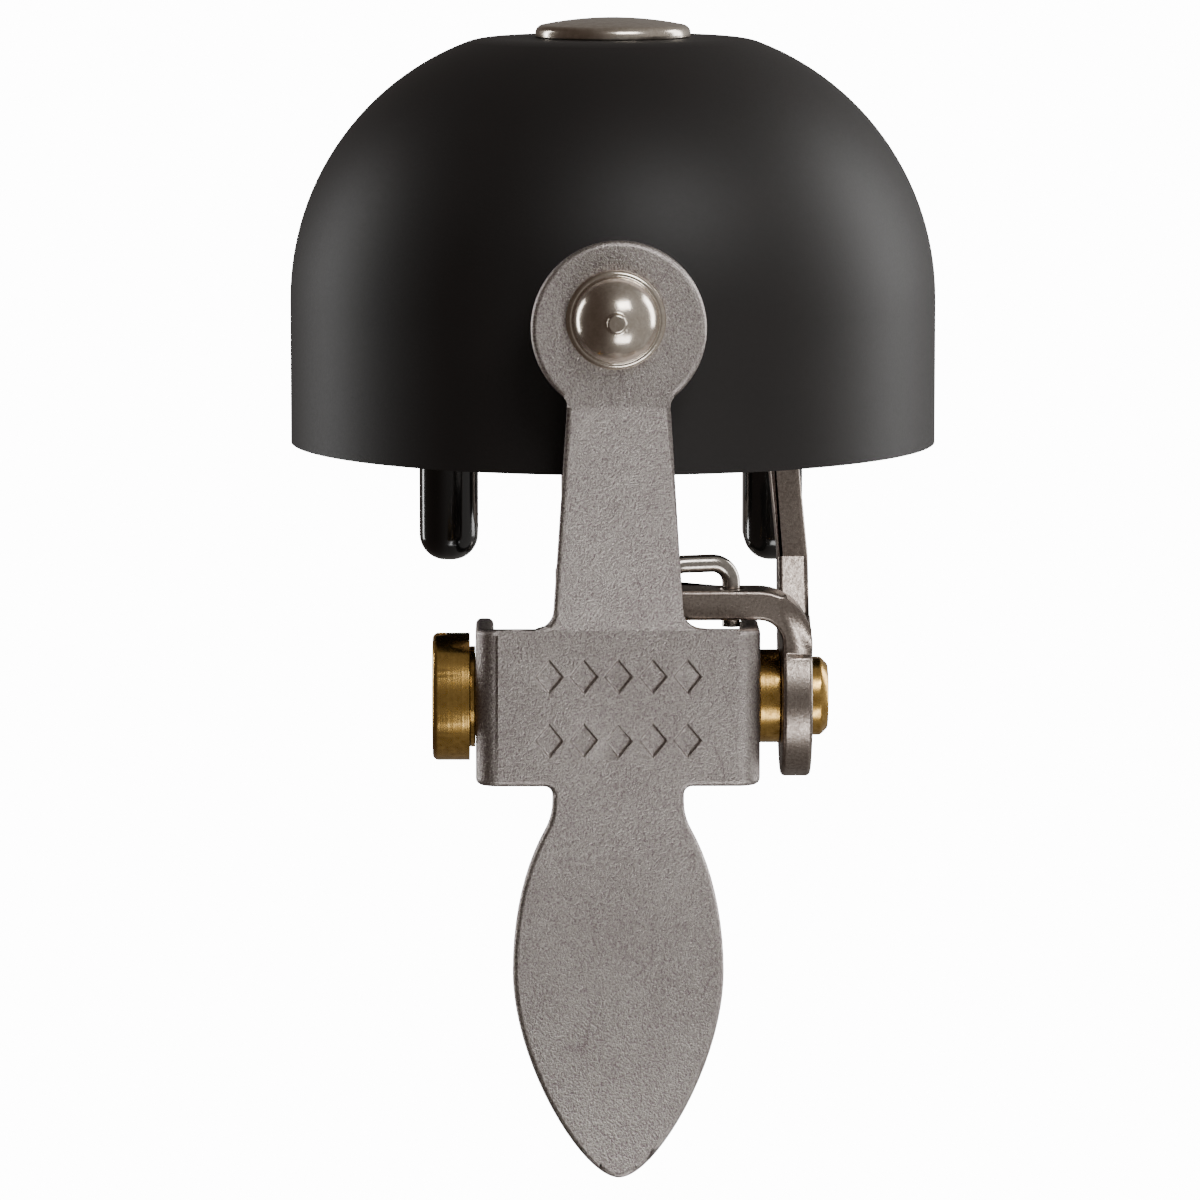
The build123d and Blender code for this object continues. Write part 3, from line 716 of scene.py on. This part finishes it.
    @staticmethod
    def faults(
        piece: bpy.types.Object, surface: BVHTree, outline: KDTree, ease: float
    ) -> list[Vector]:
        """Where rounding has thrown points off a piece's surface or far from its edges.

        Args:
            piece: The piece, with its rounding live.
            surface: The surface before rounding.
            outline: Points along its edges before rounding.
            ease: The full width of a rounded edge, in millimetres.

        Returns:
            The sound points beside the thrown ones, in metres.
        """
        off_surface, off_edge = ease / 2, 1.5 * ease + OUTLINE_STEP / 2
        rounded = piece.evaluated_get(bpy.context.evaluated_depsgraph_get())
        shape = bmesh.new()
        shape.from_mesh(rounded.to_mesh())
        rounded.to_mesh_clear()
        thrown = {
            vert
            for vert in shape.verts
            if surface.find_nearest(vert.co)[3] > off_surface * MM
            or outline.find(vert.co)[2] > off_edge * MM
        }
        sound = [
            edge.other_vert(vert).co.copy()
            for vert in thrown
            for edge in vert.link_edges
            if edge.other_vert(vert) not in thrown
        ]
        shape.free()
        return sound


def spun(
    section: Iterable[tuple[float, float]], steps: int, bevels: dict[int, tuple[float, int]]
) -> bmesh.types.BMesh:
    """A turned solid: a closed section, its corners rounded, spun round the Z axis.

    Args:
        section: Radius and height of each corner, in millimetres, with the first again at the end.
        steps: The steps in the full turn.
        bevels: The rounding radius and segments, by the corner's index.

    Returns:
        The solid, in metres.
    """
    shape = bmesh.new()
    corners = [shape.verts.new((r * MM, 0.0, z * MM)) for r, z in section]
    for start, end in zip(corners, corners[1:]):
        shape.edges.new((start, end))
    for index, (radius, segments) in bevels.items():
        bmesh.ops.bevel(
            shape,
            geom=[corners[index]],
            offset=radius * MM,
            offset_type="OFFSET",
            segments=segments,
            profile=0.5,
            affect="VERTICES",
            material=-1,
        )
    bmesh.ops.spin(
        shape,
        geom=shape.verts[:] + shape.edges[:],
        cent=(0, 0, 0),
        axis=(0, 0, 1),
        angle=FULL_TURN,
        steps=steps,
        use_merge=True,
        use_duplicate=False,
    )
    bmesh.ops.remove_doubles(shape, verts=shape.verts, dist=WELD * MM)
    bmesh.ops.recalc_face_normals(shape, faces=shape.faces)
    return shape


@dataclass
class Bell:
    """The dome with its crown screw, washer, post and nut.

    Attributes:
        radius: The dome's outer radius, as every length here in millimetres.
        wall: The thickness of its sheet.
        shoulder: The radius of the shoulder's arc.
        crown_flat: The radius of the flat at the crown.
        rim_z: The rim's height above the handlebar's axis.
        height: The height from the rim to the crown.
        screw_hole: The radius of the hole for the crown screw.
        rim_round: The rounding radius and segments inside the rim.
        crown_round: The rounding radius and segments round the crown's flat.
        steps: The steps in the full turn.
        arc_points: The segments in the shoulder's arc.
    """

    radius: float = 22.5
    wall: float = 1.6
    shoulder: float = 19.1
    crown_flat: float = 9.3
    rim_z: float = 17.3
    height: float = 28.1
    screw_hole: float = 2.15
    rim_round: tuple[float, int] = (0.5, 4)
    crown_round: tuple[float, int] = (0.9, 5)
    steps: int = 160
    arc_points: int = 28

    def section(self, inset: float, segments: int) -> list[tuple[float, float]]:
        """The dome's outline from the rim up to the crown, moved inwards by inset.

        Args:
            inset: The distance in from the outer surface.
            segments: The segments in the shoulder's arc.

        Returns:
            Radius and height of each point.
        """
        centre_r = self.radius - self.shoulder
        top = self.rim_z + self.height
        centre_z = top - math.sqrt(self.shoulder**2 - (self.crown_flat - centre_r) ** 2)
        arc = self.shoulder - inset
        crown = top - inset
        end = math.asin((crown - centre_z) / arc)
        sweep = (end * i / segments for i in range(segments + 1))
        shoulder = [(centre_r + arc * math.cos(a), centre_z + arc * math.sin(a)) for a in sweep]
        return [(self.radius - inset, self.rim_z), *shoulder, (self.screw_hole, crown)]

    def dome(self, bench: Bench) -> None:
        """Spins the dome's wall, with a rolled rim and a soft edge round the crown's flat."""
        outside = self.section(0.0, self.arc_points)
        inside = self.section(self.wall, self.arc_points)
        loop = [*outside, *reversed(inside), outside[0]]
        shoulder_end = self.arc_points + 1
        rim_inside = len(loop) - 2
        shape = spun(loop, self.steps, {rim_inside: self.rim_round, shoulder_end: self.crown_round})
        bench.finished("dome_shell", shape, BLACK_POWDER, Body.BASE, ["bell_dome"], 50.0)

    def build(self, bench: Bench) -> None:
        """Builds the dome and what holds it."""
        self.dome(bench)
        bench.eased("crown_screw", "crown_screw_plated", NICKEL, Body.BASE, 0.12)
        bench.eased("dome_washer", "dome_washer_cut", FIBRE, Body.BASE, 0.08)
        bench.eased("dome_post", "dome_post_turned", TURNED_STEEL, Body.BASE, 0.08)
        bench.eased("lock_washer", "lock_washer_split", ZINC, Body.BASE, 0.08)
        bench.eased("post_nut", "post_nut_hex", ZINC, Body.BASE, 0.08)


@dataclass
class ThumbLever:
    """The stamped lever with its hammer and the hammer's cap.

    Attributes:
        edge: The width of the lever's tumbled edges, in millimetres.
        mark_share: The share of that width at the edges of the stamped lozenges.
        mark_reach: Half the width and height of the stamped field, which is centred on the pivot.
        mark_depth: How far behind the wings' front face an edge still counts as stamped.
        wing_front_y: The wings' front face.
    """

    edge: float = 0.4
    mark_share: float = 0.3
    mark_reach: tuple[float, float] = (6.2, 4.2)
    mark_depth: float = 0.4
    wing_front_y: float = -24.675

    def share(self, middle: Vector) -> float:
        """The share of the full edge width that an edge takes, small round the lozenges."""
        wide, high = self.mark_reach
        on_front = middle.y < self.wing_front_y + self.mark_depth
        stamped = on_front and abs(middle.x) < wide and abs(middle.z - PIVOT_CENTRE[2]) < high
        return self.mark_share if stamped else 1.0

    def build(self, bench: Bench) -> None:
        """Builds the lever, the hammer and its cap."""
        plate = bench.finished(
            "lever_stamped", bench.merged("lever"), TUMBLED_STAINLESS, Body.LEVER, ["lever"]
        )
        bench.ease_edges(plate, self.edge, 4, self.share)
        bench.eased("hammer", "hammer_turned", TURNED_STEEL, Body.LEVER, 0.1)
        bench.eased("hammer_cap", "hammer_cap_plated", NICKEL, Body.LEVER, 0.1)


@dataclass
class Carrier:
    """The bent bracket, its dipped feet and its pad."""

    def build(self, bench: Bench) -> None:
        """Builds the bracket, the feet and the pad."""
        bench.eased("bracket", "bracket_bent", SHEET_STAINLESS, Body.BASE, 0.3, 4)
        bench.eased("left_foot_sleeve", "left_foot_dipped", VINYL, Body.BASE, 0.2)
        bench.eased("right_foot_sleeve", "right_foot_dipped", VINYL, Body.BASE, 0.2)
        bench.eased("shelf_pad", "shelf_pad_moulded", RUBBER, Body.BASE, 0.2)


@dataclass
class Pivot:
    """The brass screw that the lever turns on, its washers and the return spring.

    Attributes:
        wound_half: Half the length of the coil that winds up as the lever turns, in millimetres.
    """

    wound_half: float = 2.4

    def build(self, bench: Bench) -> None:
        """Builds the screw, the washer, the collar and the spring."""
        bench.eased("pivot_screw", "pivot_screw_turned", TURNED_BRASS, Body.BASE, 0.12)
        bench.eased("head_washer", "head_washer_cut", TURNED_BRASS, Body.BASE, 0.06)
        bench.eased("spacer_collar", "spacer_collar_turned", TURNED_BRASS, Body.BASE, 0.08)
        spring = bench.finished(
            "return_spring_wound",
            bench.merged("return_spring"),
            SPRING_STEEL,
            None,
            ["return_spring"],
            45.0,
        )
        # the points where one leg stays hooked in the shelf and the other follows the lever; the spring
        # itself is baked in place and rides on no body
        along = Vector((self.wound_half, 0.0, 0.0))
        hooked, free = ((Vector(PIVOT_CENTRE) + side * along) * MM for side in (1, -1))
        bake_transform(spring)
        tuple(hooked)
        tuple(free)


@dataclass
class Clamp:
    """The band that holds the bar, its liner and its fixings."""

    def build(self, bench: Bench) -> None:
        """Builds the band, the liner, the rivets, the screw, the washer and the nut."""
        bench.eased("clamp_band", "clamp_band_rolled", ROLLED_STAINLESS, Body.BASE, 0.12)
        bench.eased("band_liner", "band_liner_moulded", RUBBER, Body.BASE, 0.12)
        bench.eased("band_rivets", "band_rivets_set", ZINC, Body.BASE, 0.06)
        bench.eased("clamp_nut", "clamp_nut_hex", ZINC, Body.BASE, 0.08)
        bench.eased("clamp_washer", "clamp_washer_cut", ZINC, Body.CLAMP_WASHER, 0.06)
        bench.eased("clamp_screw", "clamp_screw_knurled", TURNED_STEEL, Body.CLAMP_SCREW, 0.06)


# ---------------------------------------------------------------- studio


@dataclass(frozen=True)
class Softbox:
    """A soft rectangular light.

    Attributes:
        name: The light's name.
        place: Where it stands, in millimetres.
        size: Its width and height, in millimetres.
        power: Its power in watts.
        colour: Its colour, as an sRGB hex value.
    """

    name: str
    place: tuple[float, float, float]
    size: tuple[float, float]
    power: float
    colour: str = "#ffffff"

    def build(self, target: Vector) -> None:
        """Hangs the light and aims it.

        Args:
            target: The point that it faces, in metres.
        """
        data = bpy.data.lights.new(self.name, "AREA")
        data.shape = "RECTANGLE"
        data.size, data.size_y = (s * MM for s in self.size)
        data.energy = self.power
        data.color = srgb(self.colour)[:3]
        lamp = bpy.data.objects.new(self.name, data)
        lamp.visible_camera = False
        lamp.location = Vector(self.place) * MM
        lamp.rotation_euler = (target - lamp.location).to_track_quat("-Z", "Y").to_euler()
        bpy.context.scene.collection.objects.link(lamp)


@dataclass
class Studio:
    """The floor, the lights and the camera.

    Attributes:
        floor_drop: The floor's distance under the object, in millimetres.
        floor_size: The floor's side, in millimetres.
        backdrop_glow: How brightly the floor and the white behind it shine at the camera.
        lens: The focal length, in millimetres.
        eye: Where the camera stands, in millimetres.
        aim: The point that it faces.
        lamp_aim: The point that the lights face.
        dim_side: The surround's colour on the left.
        bright_side: Its colour on the right.
        turn: Where, from -1 on the left to 1 on the right, one starts and ends turning into the other.
        surround: The surround's strength.
        boxes: The softboxes.
    """

    floor_drop: float = 9.0
    floor_size: float = 6000.0
    backdrop_glow: float = 14.0
    lens: float = 193.9
    eye: tuple[float, float, float] = (-6.7, -450.0, 65.0)
    aim: tuple[float, float, float] = (-0.9, 0.0, 6.0)
    lamp_aim: tuple[float, float, float] = (0.0, 0.0, 10.0)
    dim_side: str = "#6e625b"
    bright_side: str = "#e4e1dd"
    turn: tuple[float, float] = (-0.7, 0.9)
    surround: float = 0.5
    boxes: tuple[Softbox, ...] = (
        Softbox("right_softbox", (400.0, 160.0, 120.0), (160.0, 380.0), 1.4),
        Softbox("high_softbox", (130.0, -300.0, 300.0), (200.0, 140.0), 1.0),
        Softbox("left_strip", (-420.0, 220.0, 60.0), (60.0, 380.0), 0.9),
        Softbox("table_softbox", (70.0, -190.0, -150.0), (150.0, 90.0), 0.26),
    )

    def floor(self, base_z: float) -> None:
        """Lays the pale floor under the object: a sheet lit from below, on which no lamp shows.

        Args:
            base_z: The object's lowest point, in metres.
        """
        shape = bmesh.new()
        bmesh.ops.create_grid(shape, x_segments=1, y_segments=1, size=self.floor_size * MM / 2)
        bmesh.ops.translate(shape, vec=(0, 0, base_z - self.floor_drop * MM), verts=shape.verts)
        mesh = bpy.data.meshes.new("floor")
        shape.to_mesh(mesh)
        shape.free()
        paper = Finish("white_backdrop_paper", "", "#000000", 0.9).material()
        shader = paper.node_tree.nodes["Principled BSDF"]
        shader.inputs["Emission Color"].default_value = srgb("#ffffff")
        shader.inputs["Emission Strength"].default_value = self.backdrop_glow
        shader.inputs["Specular IOR Level"].default_value = 0.0
        mesh.materials.append(paper)
        slab = bpy.data.objects.new("floor", mesh)
        slab.visible_glossy = False
        slab.visible_diffuse = False
        slab.visible_shadow = False
        bpy.context.scene.collection.objects.link(slab)
        slab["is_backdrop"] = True

    def world(self) -> None:
        """Sets a dim surround, warm on the left and brighter on the right, behind a white backdrop."""
        world = bpy.data.worlds.new("studio_surround")
        world.use_nodes = True
        tree = world.node_tree
        way = add_node(tree, "SeparateXYZ", {"Vector": add_node(tree, "TexCoord").outputs["Generated"]})
        left, right = self.turn
        side = add_node(
            tree,
            "MapRange",
            {"Value": way.outputs["X"], "From Min": left, "From Max": right},
            interpolation_type="SMOOTHSTEP",
        )
        tint = add_node(
            tree,
            "Mix",
            {"Factor": side.outputs[0], "A": srgb(self.dim_side), "B": srgb(self.bright_side)},
            data_type="RGBA",
        )
        around = add_node(
            tree, "Background", {"Color": tint.outputs["Result"], "Strength": self.surround}
        )
        backdrop = tree.nodes["Background"]
        backdrop.inputs["Color"].default_value = srgb("#ffffff")
        backdrop.inputs["Strength"].default_value = self.backdrop_glow
        seen = add_node(tree, "LightPath").outputs["Is Camera Ray"]
        both = add_node(tree, "MixShader", {0: seen, 1: around.outputs[0], 2: backdrop.outputs[0]})
        tree.links.new(both.outputs[0], tree.nodes["World Output"].inputs["Surface"])
        bpy.context.scene.world = world

    def camera(self) -> None:
        """Places the camera in front of the lever, a little above the rim."""
        data = bpy.data.cameras.new("camera")
        data.lens = self.lens
        data.sensor_width = 36.0
        data.clip_start = 0.01
        data.dof.use_dof = False
        eye = bpy.data.objects.new("camera", data)
        eye.location = Vector(self.eye) * MM
        look = Vector(self.aim) * MM - eye.location
        eye.rotation_euler = look.to_track_quat("-Z", "Y").to_euler()
        bpy.context.scene.collection.objects.link(eye)
        bpy.context.scene.camera = eye

    def build(self, lowest: float) -> None:
        """Builds the studio.

        Args:
            lowest: The object's lowest point, in metres.
        """
        self.floor(lowest)
        self.world()
        for box in self.boxes:
            box.build(Vector(self.lamp_aim) * MM)
        self.camera()


def main() -> None:
    """Loads the frame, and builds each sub-assembly and the studio."""
    logging.basicConfig(level=logging.INFO, format="%(name)s: %(message)s")
    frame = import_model()
    cad_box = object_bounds()
    bench = Bench(frame)
    for assembly in (Bell(), ThumbLever(), Carrier(), Pivot(), Clamp()):
        assembly.build(bench)
        log.info("%s built", type(assembly).__name__)
    Studio().build(cad_box[0][2])


if __name__ == "__main__":
    main()
